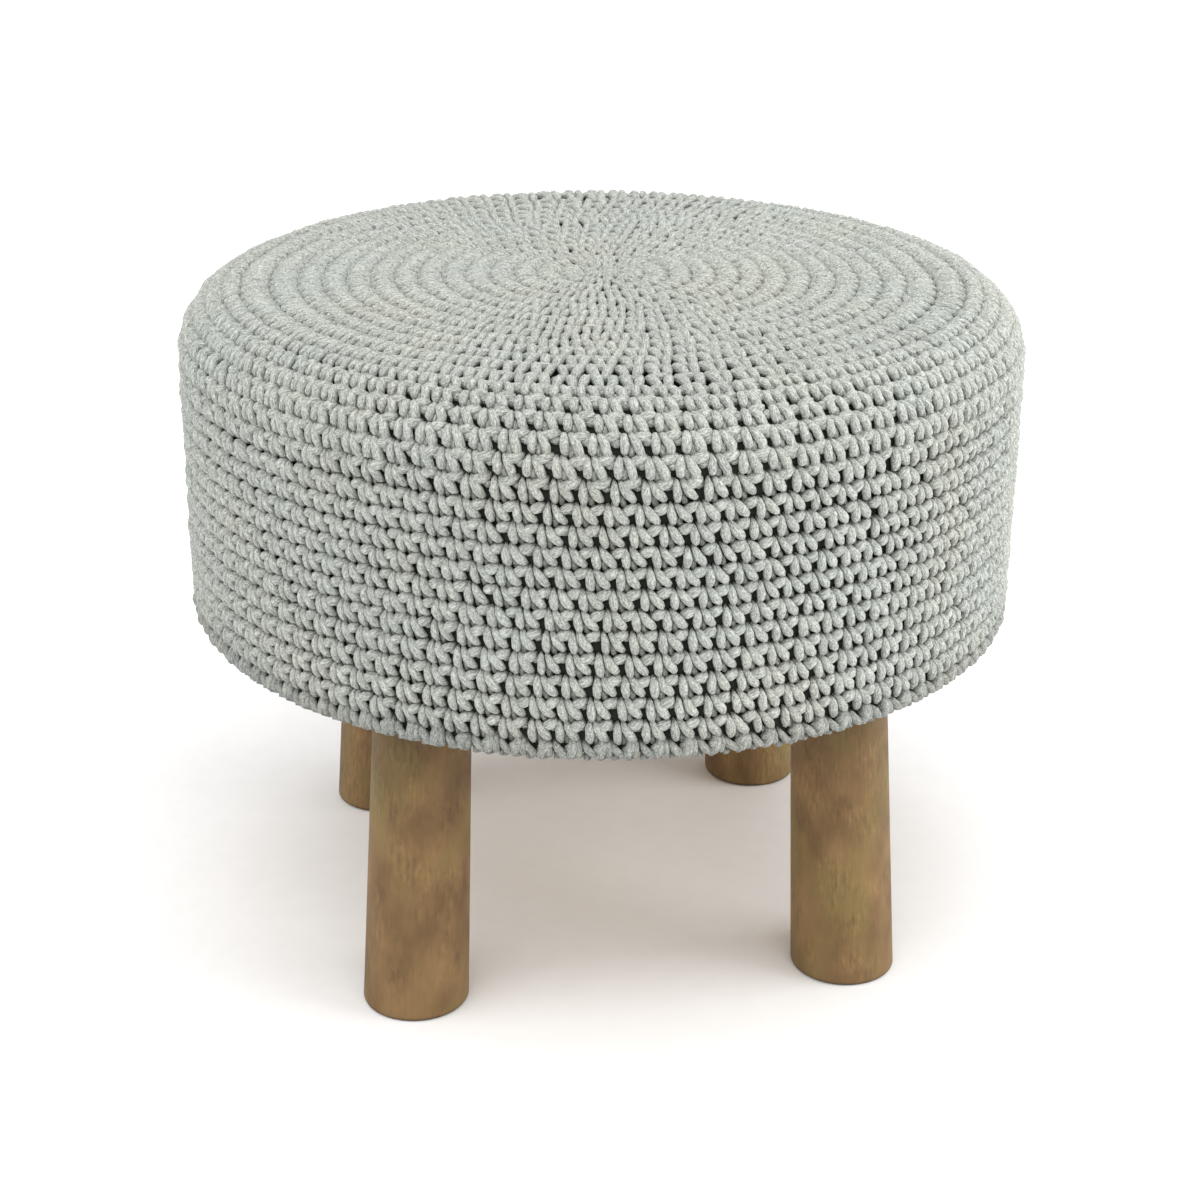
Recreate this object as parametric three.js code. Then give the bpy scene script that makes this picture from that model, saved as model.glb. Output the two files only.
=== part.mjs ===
// Crocheted pouf: a filled drum in a cord cover worked in the round, on four splayed wooden legs.
// Millimetres, +Z up. The origin is on the floor, under the middle of the drum. -Y is the front.
import * as THREE from "three";

// Drum
const DRUM_DIAMETER = 500;
const RIM_HEIGHT = 404;
const CROWN = 2;
const DRUM_BOTTOM = 204;
const TOP_EDGE_RADIUS = 39;
const LOWER_EDGE_RADIUS = 6;

// Crochet: rounds of stitches, each a raised ridge with a groove on both sides. The stitches are drawn
// together over the edge of the top, so the rounds differ in width from band to band.
const ROUND_BANDS = [
  { place: "starting ring", rounds: 1, pitch: 12 },
  { place: "flat top", rounds: 12, pitch: 14 },
  { place: "start of the edge", rounds: 2, pitch: 17 },
  { place: "rounded edge", rounds: 3, pitch: 11.4 },
  { place: "upper side", rounds: 3, pitch: 13 },
  { place: "middle of the side", rounds: 6, pitch: 11.7 },
  { place: "lower side", rounds: 5, pitch: 12.8 },
];
const RIDGE_HEIGHT = 3;
const GROOVE_SHARE = 0.26;
const HEM_WIDTH = 26;
const DRUM_FACETS = 44;

// Board under the drum
const BOARD_THICKNESS = 12;
const BOARD_SET_IN = 2.5;
const BOARD_CHAMFER = 1.5;

// Legs
const LEG_FOOT_DIAMETER = 63;
const LEG_TOP_DIAMETER = 56;
const LEG_FOOT_CIRCLE = 372;
const LEG_TOP_CIRCLE = 345;
const FOOT_EDGE = 2.5;
const FOOT_EDGE_BULGE = 0.3;
const LEG_FACETS = 24;

// Gap kept between pieces that touch
const GAP = 0.3;

const drumRadius = DRUM_DIAMETER / 2;
const flatRadius = drumRadius - TOP_EDGE_RADIUS;
const boardRadius = drumRadius - HEM_WIDTH;
const boardBottom = DRUM_BOTTOM + BOARD_SET_IN;
const legHeight = boardBottom - GAP;

// Lengths along the cover from the middle of the top: flat top, rounded edge, side, lower edge
const topEdgeLength = (TOP_EDGE_RADIUS * Math.PI) / 2;
const sideLength = RIM_HEIGHT - TOP_EDGE_RADIUS - DRUM_BOTTOM - LOWER_EDGE_RADIUS;
const lowerEdgeLength = (LOWER_EDGE_RADIUS * Math.PI) / 2;
const sideStart = flatRadius + topEdgeLength;
const sideEnd = sideStart + sideLength;
const coverLength = sideEnd + lowerEdgeLength;

// The cover's smooth outside at a length from the middle of the top: radius, height and outward normal
function coverPoint(length) {
  if (length < flatRadius) {
    const rise = CROWN * (1 - (length / flatRadius) ** 2);
    return { r: length, z: RIM_HEIGHT + rise, outR: 0, outZ: 1 };
  }
  if (length < sideStart) {
    const angle = (length - flatRadius) / TOP_EDGE_RADIUS;
    const outR = Math.sin(angle);
    const outZ = Math.cos(angle);
    const z = RIM_HEIGHT - TOP_EDGE_RADIUS * (1 - outZ);
    return { r: flatRadius + TOP_EDGE_RADIUS * outR, z, outR, outZ };
  }
  if (length < sideEnd) {
    const z = RIM_HEIGHT - TOP_EDGE_RADIUS - (length - sideStart);
    return { r: drumRadius, z, outR: 1, outZ: 0 };
  }
  const angle = Math.min(length - sideEnd, lowerEdgeLength) / LOWER_EDGE_RADIUS;
  const outR = Math.cos(angle);
  const outZ = -Math.sin(angle);
  const r = drumRadius - LOWER_EDGE_RADIUS * (1 - outR);
  return { r, z: DRUM_BOTTOM + LOWER_EDGE_RADIUS * (1 + outZ), outR, outZ };
}

// A point of the lathe outline, let in by depth below the smooth outside
function outlinePoint(length, depth) {
  const { r, z, outR, outZ } = coverPoint(length);
  return new THREE.Vector2(r - depth * outR, z - depth * outZ);
}

// Lengths at which the rounds start: top, side, then the hem's round, which ends under the lower edge
function roundStarts() {
  const starts = [0];
  for (const { rounds, pitch } of ROUND_BANDS) {
    for (let round = 0; round < rounds; round += 1) {
      starts.push(starts[starts.length - 1] + pitch);
    }
  }
  starts.push(coverLength);
  return starts;
}

// Ridge outline from the middle of the top to the lower edge: a groove, then the crest of each round
function ridgeOutline() {
  const starts = roundStarts();
  const outline = [new THREE.Vector2(0, coverPoint(0).z - RIDGE_HEIGHT)];
  for (let round = 0; round < starts.length - 1; round += 1) {
    const from = starts[round];
    const pitch = starts[round + 1] - from;
    if (round > 0) {
      outline.push(outlinePoint(from, RIDGE_HEIGHT));
    }
    outline.push(outlinePoint(from + GROOVE_SHARE * pitch, 0));
    outline.push(outlinePoint(from + (1 - GROOVE_SHARE) * pitch, 0));
  }
  outline.push(outlinePoint(coverLength, 0));
  return outline;
}

// An outline that runs from the top of the axis out and down to its foot, turned round +Z
function turned(outline, facets) {
  const geometry = new THREE.LatheGeometry([...outline].reverse(), facets);
  geometry.rotateX(Math.PI / 2);
  return geometry;
}

function material(color, roughness) {
  return new THREE.MeshStandardMaterial({ color, roughness, metalness: 0 });
}

// Filled cover: the ridged outside, the hem turned under, and the recess that takes the board
function makeCover() {
  const recessRadius = boardRadius + GAP;
  const recessTop = boardBottom + BOARD_THICKNESS + GAP;
  const outline = ridgeOutline();
  outline.push(new THREE.Vector2(recessRadius, DRUM_BOTTOM));
  outline.push(new THREE.Vector2(recessRadius, recessTop));
  outline.push(new THREE.Vector2(0, recessTop));
  const mesh = new THREE.Mesh(turned(outline, DRUM_FACETS), material(0xaab3a4, 0.95));
  mesh.name = "crochet_cover";
  return mesh;
}

// Round board let into the hem, its lower edge chamfered
function makeBoard() {
  const outline = [
    new THREE.Vector2(0, BOARD_THICKNESS),
    new THREE.Vector2(boardRadius, BOARD_THICKNESS),
    new THREE.Vector2(boardRadius, BOARD_CHAMFER),
    new THREE.Vector2(boardRadius - BOARD_CHAMFER, 0),
    new THREE.Vector2(0, 0),
  ];
  const mesh = new THREE.Mesh(turned(outline, DRUM_FACETS), material(0xb99a6b, 0.7));
  mesh.name = "base_board";
  mesh.position.z = boardBottom;
  return mesh;
}

// Leg thicker at the foot, leaning outward along +X by a shear, so that foot and top stay level
function legGeometry() {
  const footRadius = LEG_FOOT_DIAMETER / 2;
  const topRadius = LEG_TOP_DIAMETER / 2;
  const outline = [
    new THREE.Vector2(0, legHeight),
    new THREE.Vector2(topRadius, legHeight),
    new THREE.Vector2(footRadius, FOOT_EDGE),
    new THREE.Vector2(footRadius - FOOT_EDGE_BULGE * FOOT_EDGE, FOOT_EDGE_BULGE * FOOT_EDGE),
    new THREE.Vector2(footRadius - FOOT_EDGE, 0),
    new THREE.Vector2(0, 0),
  ];
  const geometry = turned(outline, LEG_FACETS);
  const lean = (LEG_TOP_CIRCLE - LEG_FOOT_CIRCLE) / 2 / legHeight;
  const shear = new THREE.Matrix4().set(1, 0, lean, 0, 0, 1, 0, 0, 0, 0, 1, 0, 0, 0, 0, 1);
  geometry.applyMatrix4(shear);
  geometry.translate(LEG_FOOT_CIRCLE / 2, 0, 0);
  return geometry;
}

// Four legs on the diagonals
function makeLegs() {
  const places = [
    { name: "leg_back_right", degrees: 45 },
    { name: "leg_back_left", degrees: 135 },
    { name: "leg_front_left", degrees: 225 },
    { name: "leg_front_right", degrees: 315 },
  ];
  const legs = new THREE.Group();
  for (const { name, degrees } of places) {
    const leg = new THREE.Mesh(legGeometry(), material(0x8a6a45, 0.55));
    leg.name = name;
    leg.rotation.z = THREE.MathUtils.degToRad(degrees);
    legs.add(leg);
  }
  return legs;
}

const pouf = new THREE.Group();
pouf.add(makeCover(), makeBoard(), makeLegs());

export default pouf;
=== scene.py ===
import math
from collections import namedtuple

import bpy
import numpy as np
from mathutils import Matrix, Vector


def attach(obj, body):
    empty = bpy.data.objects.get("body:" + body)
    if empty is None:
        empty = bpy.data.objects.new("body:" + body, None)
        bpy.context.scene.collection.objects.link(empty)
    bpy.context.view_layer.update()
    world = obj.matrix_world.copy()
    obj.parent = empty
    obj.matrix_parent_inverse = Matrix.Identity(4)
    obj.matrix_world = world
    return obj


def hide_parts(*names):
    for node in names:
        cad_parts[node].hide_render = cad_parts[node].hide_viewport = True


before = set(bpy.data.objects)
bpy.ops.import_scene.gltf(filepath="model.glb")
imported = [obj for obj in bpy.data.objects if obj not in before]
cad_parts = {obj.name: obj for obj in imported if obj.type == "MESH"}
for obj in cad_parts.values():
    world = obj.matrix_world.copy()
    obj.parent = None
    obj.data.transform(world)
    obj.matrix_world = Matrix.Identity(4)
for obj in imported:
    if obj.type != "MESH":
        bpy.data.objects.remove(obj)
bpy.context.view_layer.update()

MILLIMETRE = 0.001
SEED = 41

# Drum, as in the CAD
DRUM_RADIUS = 250.0
RIM_HEIGHT = 404.0
CROWN = 2.0
DRUM_BOTTOM = 204.0
TOP_EDGE_RADIUS = 39.0
LOWER_EDGE_RADIUS = 6.0

# Board let into the hem, as in the CAD
HEM_WIDTH = 26.0
BOARD_SET_IN = 2.5
BOARD_THICKNESS = 12.0
BOARD_RADIUS = DRUM_RADIUS - HEM_WIDTH
BOARD_BOTTOM = DRUM_BOTTOM + BOARD_SET_IN
BOARD_TOP = BOARD_BOTTOM + BOARD_THICKNESS
GAP = 0.3

# Legs, as in the CAD
LEG_FOOT_RADIUS = 31.5
LEG_TOP_RADIUS = 28.0
LEG_FOOT_PLACE = 186.0
LEG_TOP_PLACE = 172.5
LEG_HEIGHT = BOARD_BOTTOM - GAP

# Lengths along the cover, from the middle of the top
FLAT_RADIUS = DRUM_RADIUS - TOP_EDGE_RADIUS
SIDE_START = FLAT_RADIUS + TOP_EDGE_RADIUS * math.pi / 2
SIDE_END = SIDE_START + RIM_HEIGHT - TOP_EDGE_RADIUS - DRUM_BOTTOM - LOWER_EDGE_RADIUS
COVER_END = SIDE_END + LOWER_EDGE_RADIUS * math.pi / 2

# Cord: how deep its middle lies below the smooth outside, the width of a stitch from which it has its full
# thickness, how thin it gets in narrower ones, and the corners of its section
CORD_SEAT = 2.6
FULL_PITCH = 12.0
THINNEST = 0.45
CORD_SIDES = 7

# Rounds of stitches: how many, their height as in the CAD, and how far each shifts sideways from the one
# before, in stitch widths. First the starting ring, the flat top, the start of the edge and the rounded
# edge, then the upper, middle and lower rounds of the side
Band = namedtuple("Band", "rounds height drift")
BANDS = (
    Band(1, 12.0, 0.0),
    Band(12, 14.0, 0.3),
    Band(2, 17.0, 0.2),
    Band(3, 11.4, 0.17),
    Band(3, 13.0, 0.2),
    Band(6, 11.7, 0.22),
    Band(5, 12.8, 0.14),
)
# Stitches in a round: seven more in each until the top is nearly full, then these, then the last for all
INCREASE = 7
INCREASING_ROUNDS = 10
OUTER_COUNTS = (76, 80, 86, 93, 101, 109, 110, 107, 105, 104, 103, 102)
# How often the stitches of a round are evened out after some are put in or left out
EVENING_STEPS = 12
# The first rounds are worked in the flat stitch, the next ones in the edge stitch as far as the second
# round of the side, and the others in the side's own stitch
FLAT_ROUNDS = 15
EDGE_ROUNDS = 20
# The hem turned under: where its two rows start past the lower end of the cover, and their height
UNDER_STARTS = (-4.0, 7.0)
UNDER_HEIGHT = 10.5
# Pieces that the rows of stitches are joined into, from the middle of the top, and where each ends
PIECES = (
    ("crochet_top_middle", 13),
    ("crochet_top_edge", 18),
    ("crochet_side_upper", 23),
    ("crochet_side_lower", 28),
    ("crochet_side_foot", 32),
    ("crochet_hem", 35),
)


def cover_point(length):
    """Radius and height of the smooth outside, and the outward normal, at lengths along the cover."""
    length = np.maximum(length, 0.0)
    flat = length < FLAT_RADIUS
    top_edge = length < SIDE_START
    side = length < SIDE_END
    under = length > COVER_END
    top_angle = (np.clip(length, FLAT_RADIUS, SIDE_START) - FLAT_RADIUS) / TOP_EDGE_RADIUS
    low_angle = (np.clip(length, SIDE_END, COVER_END) - SIDE_END) / LOWER_EDGE_RADIUS
    out_r = np.where(side, np.sin(top_angle), np.cos(low_angle))
    out_z = np.where(side, np.cos(top_angle), -np.sin(low_angle))
    r = np.where(
        flat,
        length,
        np.where(
            side,
            FLAT_RADIUS + TOP_EDGE_RADIUS * out_r,
            DRUM_RADIUS - LOWER_EDGE_RADIUS * (1 - out_r),
        ),
    )
    rise = CROWN * (1 - np.minimum(length / FLAT_RADIUS, 1.0) ** 2)
    edge_z = RIM_HEIGHT - TOP_EDGE_RADIUS * (1 - out_z)
    side_z = RIM_HEIGHT - TOP_EDGE_RADIUS - (length - SIDE_START)
    low_z = DRUM_BOTTOM + LOWER_EDGE_RADIUS * (1 + out_z)
    z = np.where(flat, RIM_HEIGHT + rise, np.where(top_edge, edge_z, np.where(side, side_z, low_z)))
    r = np.where(under, DRUM_RADIUS - LOWER_EDGE_RADIUS - (length - COVER_END), r)
    return r, z, out_r, out_z


Round = namedtuple("Round", "start height angles")


def stitch_count(index):
    """How many stitches a round has, counted from the middle of the top."""
    if index < INCREASING_ROUNDS:
        return INCREASE * (index + 1)
    return OUTER_COUNTS[min(index - INCREASING_ROUNDS, len(OUTER_COUNTS) - 1)]


def gaps_between(angles):
    """Angle from each stitch to the one before it and to the one after it."""
    after = (np.roll(angles, -1) - angles) % math.tau
    return np.roll(after, 1), after


def worked_into(parents, count, drift, rng):
    """Directions of a round's stitches, each worked into one of the round before, some two into one."""
    angles = parents
    change = abs(count - len(parents))
    if change:
        shares = np.arange(change) + rng.uniform(0.1, 0.9, change)
        places = (shares * len(parents) / change).astype(int)
        if count > len(parents):
            after = gaps_between(parents)[1]
            angles = np.insert(parents, places + 1, parents[places] + after[places] / 2)
        else:
            angles = np.delete(parents, places)
    for _ in range(EVENING_STEPS):
        before, after = gaps_between(angles)
        angles = angles + (after - before) / 4
    return angles - drift * math.tau / count


def worked_rounds(rng):
    """Every round of stitches from the middle of the top down to the hem."""
    rounds = []
    angles = np.arange(INCREASE) * math.tau / INCREASE
    start = 0.0
    for band in BANDS:
        for _ in range(band.rounds):
            angles = worked_into(angles, stitch_count(len(rounds)), band.drift, rng)
            rounds.append(Round(start, band.height, angles))
            start += band.height
    return rounds


# Where the rounds were joined the stitches stand a little apart. Direction from +X, how far the join
# wanders from round to round, how far and over how many stitches the others are pushed away, in stitch
# widths, and the lengths along the cover between which it shows
SEAM_DEGREES = -63.0
SEAM_WANDER = 3.0
SEAM_PUSH = 0.11
SEAM_REACH = 1.3
SEAM_LENGTHS = (240.0, 305.0)

# A strand of cord in a stitch, point by point: to the right across the stitch in stitch widths, down
# along the cover in round heights, out of the cover in mm from where the cord lies, and the cord's radius
# in mm. The loops and the strands behind close the gap to the next round
LEFT_LEG = (
    (-0.14, -0.01, -2.8, 0.9),
    (-0.135, 0.10, -0.6, 1.7),
    (-0.125, 0.26, 0.5, 2.4),
    (-0.11, 0.48, 0.9, 2.65),
    (-0.09, 0.70, 0.5, 2.4),
    (-0.065, 0.87, -0.6, 1.7),
    (-0.045, 0.98, -2.8, 0.9),
)
RIGHT_LEG = (
    (0.03, -0.03, -3.0, 0.9),
    (0.08, 0.07, -0.8, 1.7),
    (0.16, 0.22, 0.5, 2.45),
    (0.26, 0.41, 0.9, 2.8),
    (0.37, 0.59, 0.6, 2.7),
    (0.46, 0.74, -0.4, 2.1),
    (0.51, 0.86, -2.8, 1.2),
)
TOP_LOOP = (
    (0.19, 1.25, -2.8, 1.8),
    (0.23, 1.23, -0.9, 2.6),
    (0.30, 1.19, 0.1, 3.0),
    (0.38, 1.14, 0.1, 3.0),
    (0.48, 1.09, -0.9, 2.6),
    (0.54, 1.05, -2.8, 1.9),
)
INNER_STRAND = (
    (0.02, 0.48, -3.4, 1.5),
    (0.12, 0.74, -2.5, 1.9),
    (0.20, 1.02, -2.5, 1.8),
)
BACK_STRAND = (
    (0.40, 0.22, -3.4, 1.8),
    (0.62, 0.28, -2.0, 2.4),
    (0.84, 0.30, -3.4, 1.8),
)
STITCH = (LEFT_LEG, RIGHT_LEG, TOP_LOOP, INNER_STRAND, BACK_STRAND)

# Over the edge of the top the legs are longer and steeper, the right one with a blunt foot
EDGE_LEFT_LEG = (
    (-0.15, -0.02, -2.8, 1.1),
    (-0.16, 0.09, -0.6, 1.9),
    (-0.16, 0.27, 0.5, 2.5),
    (-0.155, 0.50, 0.8, 2.7),
    (-0.14, 0.73, 0.4, 2.4),
    (-0.12, 0.92, -2.2, 1.3),
)
EDGE_RIGHT_LEG = (
    (0.02, -0.04, -3.0, 1.1),
    (0.06, 0.07, -0.8, 1.9),
    (0.14, 0.24, 0.5, 2.45),
    (0.24, 0.45, 0.9, 2.65),
    (0.32, 0.66, 0.6, 2.65),
    (0.36, 0.85, -0.2, 2.5),
    (0.36, 1.00, -2.8, 1.8),
)
EDGE_TOP_LOOP = (
    (0.00, 1.23, -3.2, 1.7),
    (0.08, 1.21, -0.9, 2.5),
    (0.21, 1.16, 0.0, 2.9),
    (0.35, 1.10, 0.0, 2.9),
    (0.47, 1.04, -0.9, 2.5),
    (0.55, 0.99, -3.2, 1.8),
)
EDGE_INNER_STRAND = (
    (-0.02, 0.34, -3.0, 1.9),
    (0.05, 0.66, -1.7, 2.3),
    (0.10, 0.96, -2.2, 2.1),
)
EDGE_BACK_STRAND = (
    (0.38, 0.26, -2.8, 2.1),
    (0.60, 0.34, -1.4, 2.8),
    (0.84, 0.36, -2.8, 2.1),
)
EDGE_STITCH = (EDGE_LEFT_LEG, EDGE_RIGHT_LEG, EDGE_TOP_LOOP, EDGE_INNER_STRAND, EDGE_BACK_STRAND)

# On the flat top the stitches lie close, and their legs are splayed, with an opening between the feet
FLAT_LEFT_LEG = (
    (-0.13, -0.02, -3.2, 2.1),
    (-0.15, 0.14, -0.6, 2.7),
    (-0.19, 0.36, 0.6, 3.0),
    (-0.24, 0.60, 0.6, 2.9),
    (-0.29, 0.82, -0.5, 2.6),
    (-0.32, 0.98, -3.2, 2.0),
)
FLAT_RIGHT_LEG = (
    (0.15, -0.02, -3.2, 2.1),
    (0.17, 0.14, -0.6, 2.8),
    (0.22, 0.36, 0.6, 3.1),
    (0.29, 0.60, 0.6, 3.0),
    (0.36, 0.82, -0.5, 2.7),
    (0.39, 0.98, -3.2, 2.1),
)
FLAT_TOP_LOOP = (
    (-0.06, 1.18, -3.6, 2.0),
    (0.05, 1.17, -1.3, 2.5),
    (0.22, 1.14, -0.5, 2.8),
    (0.42, 1.10, -0.5, 2.8),
    (0.60, 1.04, -1.3, 2.5),
    (0.72, 1.00, -3.6, 2.0),
)
FLAT_STITCH = (FLAT_LEFT_LEG, FLAT_RIGHT_LEG, FLAT_TOP_LOOP)

# The hem's round, under the last one of the side: a slanted grain, a blunt knot and an upright ply
HEM_GRAIN = (
    (-0.30, 0.00, -4.0, 1.4),
    (-0.24, 0.10, -1.4, 2.0),
    (-0.14, 0.22, 0.2, 2.3),
    (-0.01, 0.36, 0.4, 2.4),
    (0.12, 0.50, -0.1, 2.1),
    (0.24, 0.62, -2.8, 1.5),
)
HEM_KNOT = (
    (0.34, -0.22, -3.4, 1.6),
    (0.36, -0.06, -0.9, 2.3),
    (0.38, 0.10, 0.3, 2.7),
    (0.35, 0.27, 0.6, 2.8),
    (0.29, 0.43, 0.3, 2.6),
    (0.20, 0.57, -0.6, 2.2),
    (0.10, 0.68, -3.4, 1.5),
)
HEM_PLY = (
    (0.52, -0.12, -3.4, 1.5),
    (0.55, 0.04, -0.8, 2.0),
    (0.56, 0.20, 0.2, 2.3),
    (0.56, 0.36, 0.2, 2.3),
    (0.58, 0.52, -0.6, 2.0),
    (0.58, 0.66, -3.2, 1.4),
)
HEM_STITCH = (HEM_GRAIN, HEM_KNOT, HEM_PLY)

# The hem turned under: two plain grains a stitch
UNDER_LEFT = (
    (-0.20, -0.10, -3.0, 1.5),
    (-0.16, 0.12, -0.4, 2.3),
    (-0.12, 0.50, 0.0, 2.4),
    (-0.10, 0.86, -0.4, 2.2),
    (-0.06, 1.02, -2.6, 1.5),
)
UNDER_RIGHT = (
    (0.26, -0.10, -3.0, 1.5),
    (0.30, 0.12, -0.4, 2.3),
    (0.36, 0.50, 0.0, 2.4),
    (0.40, 0.86, -0.4, 2.2),
    (0.42, 1.02, -2.6, 1.5),
)
UNDER_STITCH = (UNDER_LEFT, UNDER_RIGHT)

# How much the stitches differ: sideways in stitch widths, along the cover in round heights, in lean, out
# of the cover in mm and in thickness, then how much each point of a strand differs from its place
SHIFT_SPREAD = 0.022
SLIDE_SPREAD = 0.02
LEAN_SPREAD = 0.035
LIFT_SPREAD = 0.25
SIZE_SPREAD = 0.05
POINT_SPREAD = 0.012
# Radius left open in the middle of the top, and how far apart the strands lie in the cord's texture
MIDDLE_HOLE = 0.3
TEXTURE_REACH = 500.0

# One strand of every stitch in a round: middle lines and radii of the cords, the directions along the round
# and out of the cover, the tints, how far out each point lies, where each cord lies in the texture, its cell
# in the texture layout, and which strip of the cell it takes, of how many
Tubes = namedtuple("Tubes", "centres radii side outward tint out texture cell strip")


def round_tubes(worked, stitch, rng, first_cell):
    """The cord tubes of one round: one set of tubes for each strand of the stitch."""
    angle = worked.angles
    count = len(angle)
    before, after = gaps_between(angle)
    step = (before + after) / 2
    if SEAM_LENGTHS[0] < worked.start < SEAM_LENGTHS[1]:
        from_seam = angle - math.radians(rng.normal(SEAM_DEGREES, SEAM_WANDER))
        from_seam = (from_seam + math.pi) % math.tau - math.pi
        apart = np.exp(-np.abs(from_seam) / step / SEAM_REACH)
        angle = angle + SEAM_PUSH * step * np.sign(from_seam) * apart
    shift = rng.normal(0, SHIFT_SPREAD, count)
    slide = rng.normal(0, SLIDE_SPREAD, count)
    lean = rng.normal(0, LEAN_SPREAD, count)
    lift = rng.normal(0, LIFT_SPREAD, count)
    size = rng.normal(1, SIZE_SPREAD, count)
    tint = rng.normal(0, 1, count)
    side = np.stack([-np.sin(angle), np.cos(angle), np.zeros(count)], axis=1)
    sets = []
    for index, strand in enumerate(stitch):
        across, along, out, radius = np.array(strand).T
        across = across + shift[:, None] + lean[:, None] * (along - 0.5)
        across = across + rng.normal(0, POINT_SPREAD, across.shape)
        along = along + slide[:, None] + rng.normal(0, POINT_SPREAD, across.shape)
        r, z, out_r, out_z = cover_point(worked.start + along * worked.height)
        crowding = np.clip(step[:, None] * r / FULL_PITCH, THINNEST, 1.0)
        depth = CORD_SEAT - (out + lift[:, None])
        reach = np.maximum(r - depth * out_r, MIDDLE_HOLE)
        direction = angle[:, None] + across * step[:, None]
        cos, sin = np.cos(direction), np.sin(direction)
        sets.append(
            Tubes(
                centres=np.stack([reach * cos, reach * sin, z - depth * out_z], axis=2),
                radii=radius * size[:, None] * crowding,
                side=side,
                outward=np.stack([out_r * cos, out_r * sin, out_z], axis=2),
                tint=tint,
                out=np.broadcast_to(out, reach.shape),
                texture=rng.uniform(-TEXTURE_REACH, TEXTURE_REACH, (count, 3)),
                cell=first_cell + np.arange(count),
                strip=(index, len(stitch)),
            )
        )
    return sets


def unit(vectors):
    """The vectors at a length of one."""
    return vectors / np.maximum(np.linalg.norm(vectors, axis=-1, keepdims=True), 1e-9)


def tube_frames(centres, side):
    """Direction and two cross directions at each point of each tube, without twist."""
    ahead = unit(np.gradient(centres, axis=1))
    across = side
    frames = []
    for ring in range(centres.shape[1]):
        direction = ahead[:, ring]
        across = unit(across - direction * np.sum(across * direction, axis=1, keepdims=True))
        frames.append(across)
    across = np.stack(frames, axis=1)
    return ahead, across, np.cross(ahead, across)


# How far a cord's rounded end stands past its last ring, in radii
TIP_LENGTH = 0.55


def with_tips(skin, first, last):
    """What holds for the rings of each tube, and after it what holds for its two tips."""
    rings = skin.reshape(len(skin), -1, skin.shape[-1])
    return np.concatenate([rings, first[:, None], last[:, None]], axis=1)


def tube_surface(tubes):
    """Points of the tubes, their places in the cord's texture, and how far out they stand."""
    ahead, across, other = tube_frames(tubes.centres, tubes.side)
    turn = np.arange(CORD_SIDES) * math.tau / CORD_SIDES
    cos, sin = np.cos(turn), np.sin(turn)
    circle = cos[:, None] * across[:, :, None, :] + sin[:, None] * other[:, :, None, :]
    radii = tubes.radii[:, :, None]
    rings = tubes.centres[:, :, None, :] + radii[..., None] * circle
    tip = TIP_LENGTH * tubes.radii
    first = tubes.centres[:, 0] - ahead[:, 0] * tip[:, :1]
    last = tubes.centres[:, -1] + ahead[:, -1] * tip[:, -1:]
    points = with_tips(rings, first, last)

    steps = np.linalg.norm(np.diff(tubes.centres, axis=1), axis=2)
    run = np.concatenate([np.zeros((len(steps), 1)), np.cumsum(steps, axis=1)], axis=1)
    run_round = np.broadcast_to(run[:, :, None], run.shape + (CORD_SIDES,))
    place = np.stack([radii * cos, radii * sin, run_round], axis=3)
    cord_axis = np.array([0.0, 0.0, 1.0])
    places = with_tips(place, (run[:, :1] - 1) * cord_axis, (run[:, -1:] + 1) * cord_axis)
    places = places + tubes.texture[:, None, :]

    relief = radii * np.sum(circle * tubes.outward[:, :, None, :], axis=3) + tubes.out[:, :, None]
    return points, places, with_tips(relief[..., None], tubes.out[:, :1], tubes.out[:, -1:])


def wrapped_faces(rings, sides):
    """Quads round a row of rings, and the triangles to the two tips that come after the rings."""
    ring, corner = np.divmod(np.arange((rings - 1) * sides), sides)
    following = (corner + 1) % sides
    quads = np.stack(
        [
            ring * sides + corner,
            ring * sides + following,
            (ring + 1) * sides + following,
            (ring + 1) * sides + corner,
        ],
        axis=1,
    )
    corner = np.arange(sides)
    following = (corner + 1) % sides
    first_tip = np.full(sides, rings * sides)
    last_ring = (rings - 1) * sides
    fans = np.concatenate(
        [
            np.stack([first_tip, following, corner], axis=1),
            np.stack([first_tip + 1, last_ring + corner, last_ring + following], axis=1),
        ]
    )
    return quads, fans


def wrapped_layout(rings, sides):
    """Where the corners of the same faces lie, unrolled to a strip of one by one."""
    ring, corner = np.divmod(np.arange((rings - 1) * sides), sides)
    quad_u = np.stack([ring + 1, ring + 1, ring + 2, ring + 2], axis=1)
    quad_v = np.stack([corner, corner + 1, corner + 1, corner], axis=1)
    corner = np.arange(sides)
    fan_u = np.repeat([[0, 1, 1], [rings + 1, rings, rings]], sides, axis=0)
    fan_v = np.concatenate(
        [
            np.stack([corner + 0.5, corner + 1, corner], axis=1),
            np.stack([corner + 0.5, corner, corner + 1], axis=1),
        ]
    )
    return [np.stack([u / (rings + 1), v / sides], axis=2) for u, v in ((quad_u, quad_v), (fan_u, fan_v))]


# Free edge of each strip in the texture layout, as a share of its cell
CELL_MARGIN = 0.03


def in_strips(layout, tubes, columns):
    """One tube's layout repeated for all, each in its own strip of its own cell."""
    index, strips = tubes.strip
    cell_x = (tubes.cell % columns)[:, None, None]
    cell_y = (tubes.cell // columns)[:, None, None]
    low = index / strips + CELL_MARGIN
    high = (index + 1) / strips - CELL_MARGIN
    x = (cell_x + CELL_MARGIN + layout[..., 0] * (1 - 2 * CELL_MARGIN)) / columns
    y = (cell_y + low + layout[..., 1] * (high - low)) / columns
    return np.stack([x, y], axis=3).reshape(-1, 2)


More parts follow.
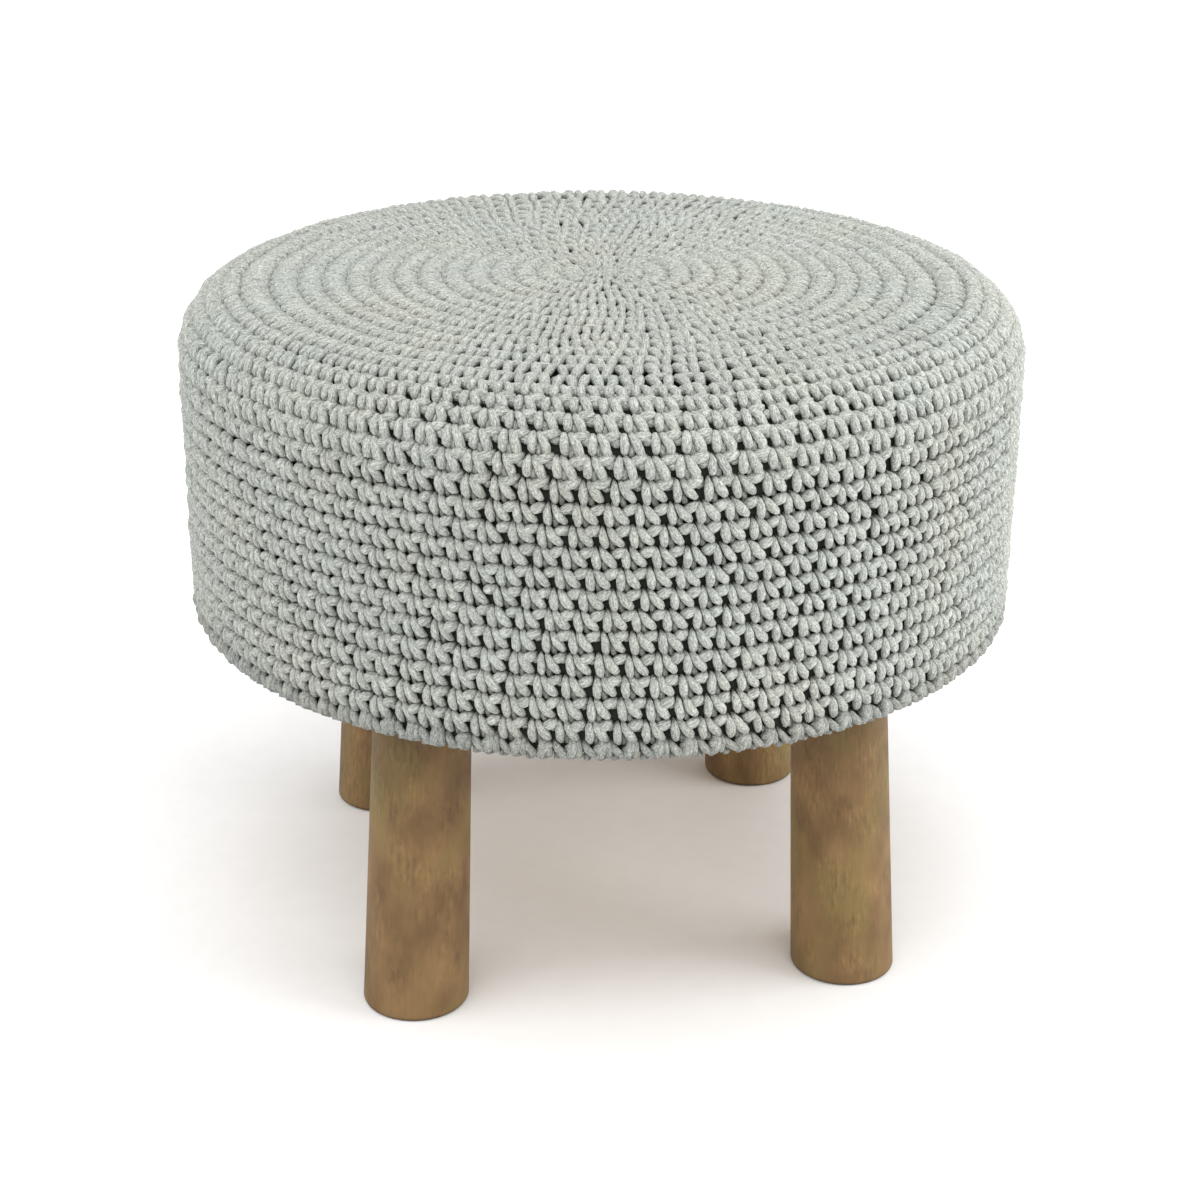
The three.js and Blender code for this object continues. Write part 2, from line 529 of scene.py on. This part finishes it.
def cord_mesh(name, sets, cells):
    """One mesh of many cord tubes, each with rounded ends and its own place in the texture layout."""
    columns = math.ceil(math.sqrt(cells))
    points, places, reliefs, tints = [], [], [], []
    quads, fans, quad_layouts, fan_layouts = [], [], [], []
    base = 0
    for tubes in sets:
        count, rings = tubes.radii.shape
        skin, place, relief = tube_surface(tubes)
        per_tube = skin.shape[1]
        points.append(skin.reshape(-1, 3))
        places.append(place.reshape(-1, 3))
        reliefs.append(relief.ravel())
        tints.append(np.repeat(tubes.tint, per_tube))

        starts = (base + np.arange(count) * per_tube)[:, None, None]
        quad, fan = wrapped_faces(rings, CORD_SIDES)
        quads.append((starts + quad).reshape(-1, 4))
        fans.append((starts + fan).reshape(-1, 3))
        quad_layout, fan_layout = wrapped_layout(rings, CORD_SIDES)
        quad_layouts.append(in_strips(quad_layout, tubes, columns))
        fan_layouts.append(in_strips(fan_layout, tubes, columns))
        base += count * per_tube

    values = {
        "cord_place": np.concatenate(places),
        "relief": np.concatenate(reliefs),
        "tint": np.concatenate(tints),
    }
    faces = (np.concatenate(quads), np.concatenate(fans))
    return build_mesh(name, np.concatenate(points), faces, values, quad_layouts + fan_layouts)


def build_mesh(name, points, faces, values, layouts=None):
    """A smooth mesh object from points in mm, groups of faces, values at the points, and a layout."""
    mesh = bpy.data.meshes.new(name)
    corners = np.concatenate([group.ravel() for group in faces])
    sizes = np.concatenate([np.full(len(group), group.shape[1]) for group in faces])
    starts = np.concatenate([[0], np.cumsum(sizes)[:-1]])
    mesh.vertices.add(len(points))
    mesh.vertices.foreach_set("co", (points * MILLIMETRE).astype(np.float32).ravel())
    mesh.loops.add(len(corners))
    mesh.loops.foreach_set("vertex_index", corners.astype(np.int32))
    mesh.polygons.add(len(sizes))
    mesh.polygons.foreach_set("loop_start", starts.astype(np.int32))
    if layouts:
        uv_map = mesh.uv_layers.new(name="OFBake")
        uv_map.uv.foreach_set("vector", np.concatenate(layouts).astype(np.float32).ravel())
    for label, value in values.items():
        kind, field = ("FLOAT_VECTOR", "vector") if value.ndim == 2 else ("FLOAT", "value")
        attribute = mesh.attributes.new(label, kind, "POINT")
        attribute.data.foreach_set(field, value.astype(np.float32).ravel())
    mesh.update(calc_edges=True)
    mesh.polygons.foreach_set("use_smooth", np.ones(len(sizes), dtype=bool))
    mesh.update()
    thing = bpy.data.objects.new(name, mesh)
    bpy.context.scene.collection.objects.link(thing)
    return thing


# Shader maths

class Number:
    """A number that comes out of a node; sums and products with it make Math nodes."""

    def __init__(self, look, socket):
        self.look = look
        self.socket = socket

    def maths(self, operation, *values):
        node = self.look.node("ShaderNodeMath", {"operation": operation}, dict(enumerate(values)))
        return Number(self.look, node.outputs[0])

    def __add__(self, other):
        return self.maths("ADD", self, other)

    def __radd__(self, other):
        return self.maths("ADD", other, self)

    def __sub__(self, other):
        return self.maths("SUBTRACT", self, other)

    def __rsub__(self, other):
        return self.maths("SUBTRACT", other, self)

    def __mul__(self, other):
        return self.maths("MULTIPLY", self, other)

    def __rmul__(self, other):
        return self.maths("MULTIPLY", other, self)

    def ramp(self, low, high, low_value=0.0, high_value=1.0):
        """Runs from one value to another as the number goes from low to high, held at both ends."""
        node = self.look.node(
            "ShaderNodeMapRange",
            {"clamp": True},
            {"Value": self, "From Min": low, "From Max": high, "To Min": low_value, "To Max": high_value},
        )
        return Number(self.look, node.outputs["Result"])


class Look:
    """A material whose colour and bump are worked out by nodes."""

    def __init__(self, name, **fixed):
        self.material = bpy.data.materials.new(name)
        self.material.use_nodes = True
        self.tree = self.material.node_tree
        self.tree.nodes.clear()
        self.shader = self.node("ShaderNodeBsdfPrincipled")
        for label, value in fixed.items():
            self.shader.inputs[label.replace("_", " ")].default_value = value
        output = self.node("ShaderNodeOutputMaterial")
        self.tree.links.new(self.shader.outputs[0], output.inputs["Surface"])

    def node(self, kind, settings=None, inputs=None):
        node = self.tree.nodes.new(kind)
        for label, value in (settings or {}).items():
            setattr(node, label, value)
        for label, value in (inputs or {}).items():
            self.feed(node.inputs[label], value)
        return node

    def feed(self, socket, value):
        if isinstance(value, Number):
            self.tree.links.new(value.socket, socket)
        elif isinstance(value, bpy.types.NodeSocket):
            self.tree.links.new(value, socket)
        else:
            socket.default_value = value

    def position(self):
        return self.node("ShaderNodeNewGeometry").outputs["Position"]

    def attribute(self, name):
        return self.node("ShaderNodeAttribute", {"attribute_name": name}).outputs["Vector"]

    def attribute_number(self, name):
        return Number(self, self.node("ShaderNodeAttribute", {"attribute_name": name}).outputs["Fac"])

    def stretched(self, vector, stretch):
        node = self.node("ShaderNodeVectorMath", {"operation": "MULTIPLY"}, {0: vector, 1: stretch})
        return node.outputs[0]

    def height(self, vector):
        return Number(self, self.node("ShaderNodeSeparateXYZ", {}, {0: vector}).outputs[2])

    def noise(self, vector, scale=1.0, detail=2.0, roughness=0.5):
        inputs = {"Vector": vector, "Scale": scale, "Detail": detail, "Roughness": roughness}
        return Number(self, self.node("ShaderNodeTexNoise", {}, inputs).outputs[0])

    def mix(self, factor, first, second):
        """From one colour to another. A colour mix has them in sockets 6 and 7, and its result in 2."""
        node = self.node("ShaderNodeMix", {"data_type": "RGBA"}, {0: factor, 6: first, 7: second})
        return node.outputs[2]

    def shade(self, colour, amount):
        """The colour made lighter or darker by a number."""
        grey = self.node("ShaderNodeCombineColor", {}, {0: amount, 1: amount, 2: amount}).outputs[0]
        settings = {"data_type": "RGBA", "blend_type": "MULTIPLY"}
        return self.node("ShaderNodeMix", settings, {0: 1.0, 6: colour, 7: grey}).outputs[2]

    def paint(self, colour):
        self.feed(self.shader.inputs["Base Color"], colour)

    def bump(self, height, distance, strength):
        inputs = {"Height": height, "Distance": distance, "Strength": strength}
        self.feed(self.shader.inputs["Normal"], self.node("ShaderNodeBump", {}, inputs).outputs[0])


def cord_look():
    """Pale grey green cotton, with painted shade deep between the strands, at the edges of each cord and
    towards the hem.
    """
    look = Look("cotton_cord", Roughness=0.95, Sheen_Weight=0.1, Sheen_Roughness=0.6, Specular_IOR_Level=0.1)
    place = look.attribute("cord_place")
    fibres = look.noise(look.stretched(place, (1.5, 1.5, 0.5)), detail=1.0).ramp(0.40, 0.60)
    lint = look.noise(look.stretched(place, (1.3, 1.3, 1.2)), detail=1.0).ramp(0.40, 0.60)
    tint = look.attribute_number("tint")
    relief = look.attribute_number("relief")
    where = look.position()
    patches = look.noise(where, scale=14.0, detail=2.0)
    # Painted shade: the cord darkens towards the hem, which faces down into shadow
    painted_hem_shade = look.height(where).ramp(0.203, 0.228, 0.56, 1.0)
    base = look.mix(patches.ramp(0.35, 0.65), (0.447, 0.472, 0.440, 1), (0.465, 0.477, 0.428, 1))
    # Painted shade: the deeper a point lies below the cord's crest, the nearer its colour runs to a dark
    # olive
    colour = look.mix(relief.ramp(-4.5, 0.0), (0.20, 0.205, 0.155, 1), base)
    threads = (fibres - 0.5) * 0.4 + (lint - 0.5) * 0.42
    # Painted shade: each cord is lightest at its crest and darker towards its edges; the stitch's tint and
    # the threads' texture are added
    painted_shade_and_threads = relief.ramp(-1.5, 3.0, 0.80, 1.02) + tint * 0.02 + threads
    look.paint(look.shade(colour, painted_shade_and_threads * painted_hem_shade))
    look.bump(fibres * 0.5 + lint * 0.5, 0.0006, 0.8)
    return look.material


def filling_look():
    """The cloth of the filled drum, dark in itself and painted near black for the shade deep in the holes
    between the stitches.
    """
    look = Look("dark_filling", Roughness=0.95)
    where = look.position()
    weave = look.noise(where, scale=900.0, detail=2.0)
    cloud = look.noise(where, scale=30.0, detail=1.0)
    # Painted shade: the cloth's colour is partly its own dark green grey and partly the shade inside the
    # holes
    colour = look.mix(cloud, (0.020, 0.025, 0.019, 1), (0.034, 0.038, 0.028, 1))
    look.paint(look.shade(colour, weave.ramp(0.3, 0.7, 0.75, 1.25)))
    look.bump(weave, 0.0004, 0.5)
    return look.material


def leg_look():
    """Stained wood with worn, rippled patches, darker at the rim of the foot, and with a painted shadow
    under the cover.
    """
    look = Look("leg_wood", Roughness=0.6, Specular_IOR_Level=0.3)
    place = look.attribute("wood_place")
    grain = look.noise(look.stretched(place, (0.7, 0.7, 0.06)), detail=3.0, roughness=0.6)
    ripple = look.noise(look.stretched(place, (0.45, 0.45, 0.13)), detail=2.0, roughness=0.6)
    worn = look.noise(look.stretched(place, (0.05, 0.05, 0.04)), detail=1.0).ramp(0.42, 0.62)
    mottle = look.noise(look.stretched(place, (0.035, 0.035, 0.022)), detail=3.0, roughness=0.55)
    olive = look.noise(look.stretched(place, (0.030, 0.030, 0.018)), detail=2.0)
    colour = look.mix(mottle.ramp(0.34, 0.66), (0.140, 0.078, 0.031, 1), (0.250, 0.150, 0.060, 1))
    colour = look.mix(olive.ramp(0.48, 0.66, 0.0, 0.75), colour, (0.205, 0.145, 0.048, 1))
    height = look.height(place)
    rim = height.ramp(0.4, 3.0, 0.35, 1.0)
    # Painted shadow: the leg darkens towards its top, under the cover
    painted_shadow_under_cover = height.ramp(125.0, 205.0, 1.0, 0.55)
    shade = grain.ramp(0.25, 0.75, 0.91, 1.08) + (ripple - 0.5) * worn * 1.1
    look.paint(look.shade(colour, shade * rim * painted_shadow_under_cover))
    look.bump(grain * 0.3 + ripple * worn, 0.0011, 0.8)
    return look.material


def board_look():
    """Plain sawn wood with its grain along +X."""
    look = Look("board_wood", Roughness=0.65)
    place = look.attribute("wood_place")
    grain = look.noise(look.stretched(place, (0.02, 0.5, 0.5)), detail=4.0, roughness=0.6)
    bands = look.noise(look.stretched(place, (0.004, 0.05, 0.05)), detail=2.0)
    colour = look.mix(bands.ramp(0.3, 0.7), (0.40, 0.27, 0.14, 1), (0.52, 0.38, 0.22, 1))
    look.paint(look.shade(colour, grain.ramp(0.25, 0.75, 0.86, 1.12)))
    look.bump(grain, 0.0004, 0.4)
    return look.material


def floor_look():
    look = Look("pale_floor", Roughness=0.9, Specular_IOR_Level=0.1)
    speck = look.noise(look.position(), scale=60.0, detail=2.0)
    look.paint(look.mix(speck.ramp(0.3, 0.7), (0.891, 0.891, 0.891, 1), (0.909, 0.909, 0.909, 1)))
    return look.material


def dress(thing, material):
    thing.data.materials.append(material)
    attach(thing, "root")


# Turned pieces

def arc(centre_r, centre_z, radius, start, end, steps):
    """Points of a rounded edge in an outline, from one angle to another, in degrees."""
    angles = np.radians(np.linspace(start, end, steps))
    return [(centre_r + radius * math.cos(a), centre_z + radius * math.sin(a)) for a in angles]


def turned(outline, facets):
    """Points and faces of a closed piece turned about +Z. Its outline runs from the foot to the top."""
    outline = np.array(outline)
    angles = np.arange(facets) * math.tau / facets
    r, z = outline[1:-1, 0][:, None], outline[1:-1, 1][:, None]
    level = np.broadcast_to(z, (len(z), facets))
    rings = np.stack([r * np.cos(angles), r * np.sin(angles), level], axis=2)
    tips = [(0.0, 0.0, outline[0, 1]), (0.0, 0.0, outline[-1, 1])]
    return np.concatenate([rings.reshape(-1, 3), tips]), wrapped_faces(len(z), facets)


# How deep the filling's skin lies below the smooth outside
FILLING_DEPTH = 5.8
FILLING_FACETS = 128
# Its rings from the hem to the middle of the top: where a stretch starts and ends, and its rings
FILLING_STRETCHES = (
    (COVER_END, SIDE_END, 4),
    (SIDE_END, SIDE_START, 12),
    (SIDE_START, FLAT_RADIUS, 10),
    (FLAT_RADIUS, 0.0, 16),
)


def make_filling():
    """The filled drum that shows dark between the stitches."""
    stretches = [np.linspace(start, end, rings)[1:] for start, end, rings in FILLING_STRETCHES]
    r, z, out_r, out_z = cover_point(np.concatenate([[COVER_END]] + stretches))
    skin = np.stack([r - FILLING_DEPTH * out_r, z - FILLING_DEPTH * out_z], axis=1)
    recess_radius = BOARD_RADIUS + GAP
    recess_top = BOARD_TOP + GAP
    recess = [(0, recess_top), (recess_radius, recess_top), (recess_radius, skin[0, 1])]
    outline = recess + [tuple(point) for point in skin[:-1]] + [(0, skin[-1, 1])]
    points, faces = turned(outline, FILLING_FACETS)
    filling = build_mesh("drum_filling", points, faces, {})
    dress(filling, filling_look())
    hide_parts("crochet_cover")


def make_crochet():
    """All the stitches, in pieces from the middle of the top to the hem."""
    rng = np.random.default_rng(SEED)
    rounds = worked_rounds(rng)
    last = rounds[-1]
    hem_start = last.start + last.height
    rows = [(worked, FLAT_STITCH) for worked in rounds[:FLAT_ROUNDS]]
    rows += [(worked, EDGE_STITCH) for worked in rounds[FLAT_ROUNDS:EDGE_ROUNDS]]
    rows += [(worked, STITCH) for worked in rounds[EDGE_ROUNDS:]]
    rows.append((Round(hem_start, COVER_END - hem_start, last.angles), HEM_STITCH))
    for start in UNDER_STARTS:
        rows.append((Round(COVER_END + start, UNDER_HEIGHT, last.angles), UNDER_STITCH))
    look = cord_look()
    first = 0
    for name, end in PIECES:
        sets = []
        cells = 0
        for worked, stitch in rows[first:end]:
            sets.extend(round_tubes(worked, stitch, rng, cells))
            cells += len(worked.angles)
        dress(cord_mesh(name, sets, cells), look)
        first = end


# Rounded edges of the board, and rings that keep its flat sides evenly shaded
BOARD_LOWER_EDGE = 1.5
BOARD_UPPER_EDGE = 1.0
BOARD_RINGS = (80.0, 160.0)
BOARD_FACETS = 128


def make_board():
    """The round board under the drum."""
    lower, upper = BOARD_LOWER_EDGE, BOARD_UPPER_EDGE
    outline = [(0, BOARD_BOTTOM)] + [(ring, BOARD_BOTTOM) for ring in BOARD_RINGS]
    outline += arc(BOARD_RADIUS - lower, BOARD_BOTTOM + lower, lower, -90, 0, 5)
    outline += arc(BOARD_RADIUS - upper, BOARD_TOP - upper, upper, 0, 90, 4)
    outline += [(ring, BOARD_TOP) for ring in reversed(BOARD_RINGS)] + [(0, BOARD_TOP)]
    points, faces = turned(outline, BOARD_FACETS)
    board = build_mesh("base_disc", points, faces, {"wood_place": points})
    dress(board, board_look())
    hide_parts("base_board")


# Edges of a leg, the ring in its level ends, and the rings up its length, the first above the foot
FOOT_EDGE = 2.5
LEG_TOP_EDGE = 1.0
LEG_END_RING = 14.0
LEG_FIRST_RING = 14.0
LEG_RINGS = 14
LEG_FACETS = 72
LEG_PLACES = (("back_right", 45), ("back_left", 135), ("front_left", 225), ("front_right", 315))
# From leg to leg in the wood, so that no two have the same marks
WOOD_STEP = (300.0, 170.0, 0.0)


def make_legs():
    """Four turned legs, thicker at the foot, each leaning out along its diagonal."""
    look = leg_look()
    taper = LEG_TOP_RADIUS - LEG_FOOT_RADIUS
    outline = [(0, 0), (LEG_END_RING, 0)]
    outline += arc(LEG_FOOT_RADIUS - FOOT_EDGE, FOOT_EDGE, FOOT_EDGE, -90, 0, 7)
    for height in np.linspace(LEG_FIRST_RING, LEG_HEIGHT - LEG_TOP_EDGE, LEG_RINGS):
        outline.append((LEG_FOOT_RADIUS + taper * height / LEG_HEIGHT, height))
    outline.append((LEG_TOP_RADIUS - LEG_TOP_EDGE, LEG_HEIGHT))
    outline += [(LEG_END_RING, LEG_HEIGHT), (0, LEG_HEIGHT)]
    points, faces = turned(outline, LEG_FACETS)
    lean = (LEG_TOP_PLACE - LEG_FOOT_PLACE) / LEG_HEIGHT
    out = LEG_FOOT_PLACE + lean * points[:, 2]
    for index, (side, degrees) in enumerate(LEG_PLACES):
        angle = math.radians(degrees)
        x = points[:, 0] + out * math.cos(angle)
        y = points[:, 1] + out * math.sin(angle)
        leaned = np.stack([x, y, points[:, 2]], axis=1)
        wood_place = points + index * np.array(WOOD_STEP)
        leg = build_mesh(f"turned_leg_{side}", leaned, faces, {"wood_place": wood_place})
        dress(leg, look)
        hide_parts(f"leg_{side}")


FLOOR_SIZE = 40.0


def make_floor():
    bpy.ops.mesh.primitive_plane_add(size=FLOOR_SIZE, location=(0, 0, 0))
    floor = bpy.context.object
    floor.name = "studio_floor"
    floor.data.materials.append(floor_look())


# Camera and light

CAMERA_AZIMUTH = math.radians(-9.36)
CAMERA_ELEVATION = 0.401
CAMERA_ROLL = 0.008
CAMERA_AIM = (0.0001, 0, 0.1937)
CAMERA_DISTANCE = 1.4519
CAMERA_LENS = 69.27
SENSOR_WIDTH = 36.0


def make_camera():
    """The photograph's view: long lens, from in front, a little to the left and above."""
    level = math.cos(CAMERA_ELEVATION)
    back = Vector(
        (math.sin(CAMERA_AZIMUTH) * level, -math.cos(CAMERA_AZIMUTH) * level, math.sin(CAMERA_ELEVATION))
    )
    level_right = Vector((0, 0, 1)).cross(back).normalized()
    level_up = back.cross(level_right)
    right = math.cos(CAMERA_ROLL) * level_right + math.sin(CAMERA_ROLL) * level_up
    up = -math.sin(CAMERA_ROLL) * level_right + math.cos(CAMERA_ROLL) * level_up
    camera = bpy.data.objects.new("camera", bpy.data.cameras.new("camera"))
    bpy.context.scene.collection.objects.link(camera)
    camera.data.lens = CAMERA_LENS
    camera.data.sensor_width = SENSOR_WIDTH
    camera.data.clip_end = 100.0
    place = Vector(CAMERA_AIM) + CAMERA_DISTANCE * back
    camera.matrix_world = Matrix.Translation(place) @ Matrix((right, up, back)).transposed().to_4x4()
    bpy.context.scene.camera = camera


def hang(light, place, direction):
    lamp = bpy.data.objects.new(light.name, light)
    bpy.context.scene.collection.objects.link(lamp)
    lamp.location = place
    lamp.rotation_mode = "QUATERNION"
    lamp.rotation_quaternion = direction.to_track_quat("-Z", "Y")


OVERHEAD_STRENGTH = 2.55
OVERHEAD_ANGLE = math.radians(80)
OVERHEAD_DIRECTION = (0.13, 0.32, -1.0)
SKY_STRENGTH = 0.5
# Square lights beside the pouf, aimed at its side
FILL_SIZE = 1.5
FILL_AIM = (0, 0, 0.3)
FILLS = (("right_fill", (1.9, -0.7, 0.9), 29), ("left_fill", (-1.9, -0.5, 0.9), 7))


def make_studio():
    """White surroundings, a wide soft light from overhead, and a weak one from each side."""
    world = bpy.data.worlds.new("studio")
    bpy.context.scene.world = world
    world.use_nodes = True
    world.node_tree.nodes["Background"].inputs["Color"].default_value = (1, 1, 1, 1)
    world.node_tree.nodes["Background"].inputs["Strength"].default_value = SKY_STRENGTH
    overhead = bpy.data.lights.new("overhead", "SUN")
    overhead.energy = OVERHEAD_STRENGTH
    overhead.angle = OVERHEAD_ANGLE
    hang(overhead, (0, 0, 0), Vector(OVERHEAD_DIRECTION))
    for name, place, power in FILLS:
        fill = bpy.data.lights.new(name, "AREA")
        fill.shape = "SQUARE"
        fill.size = FILL_SIZE
        fill.energy = power
        hang(fill, place, Vector(FILL_AIM) - Vector(place))
    bpy.context.scene.view_settings.view_transform = "Standard"


make_camera()
make_studio()
make_floor()
make_filling()
make_crochet()
make_board()
make_legs()
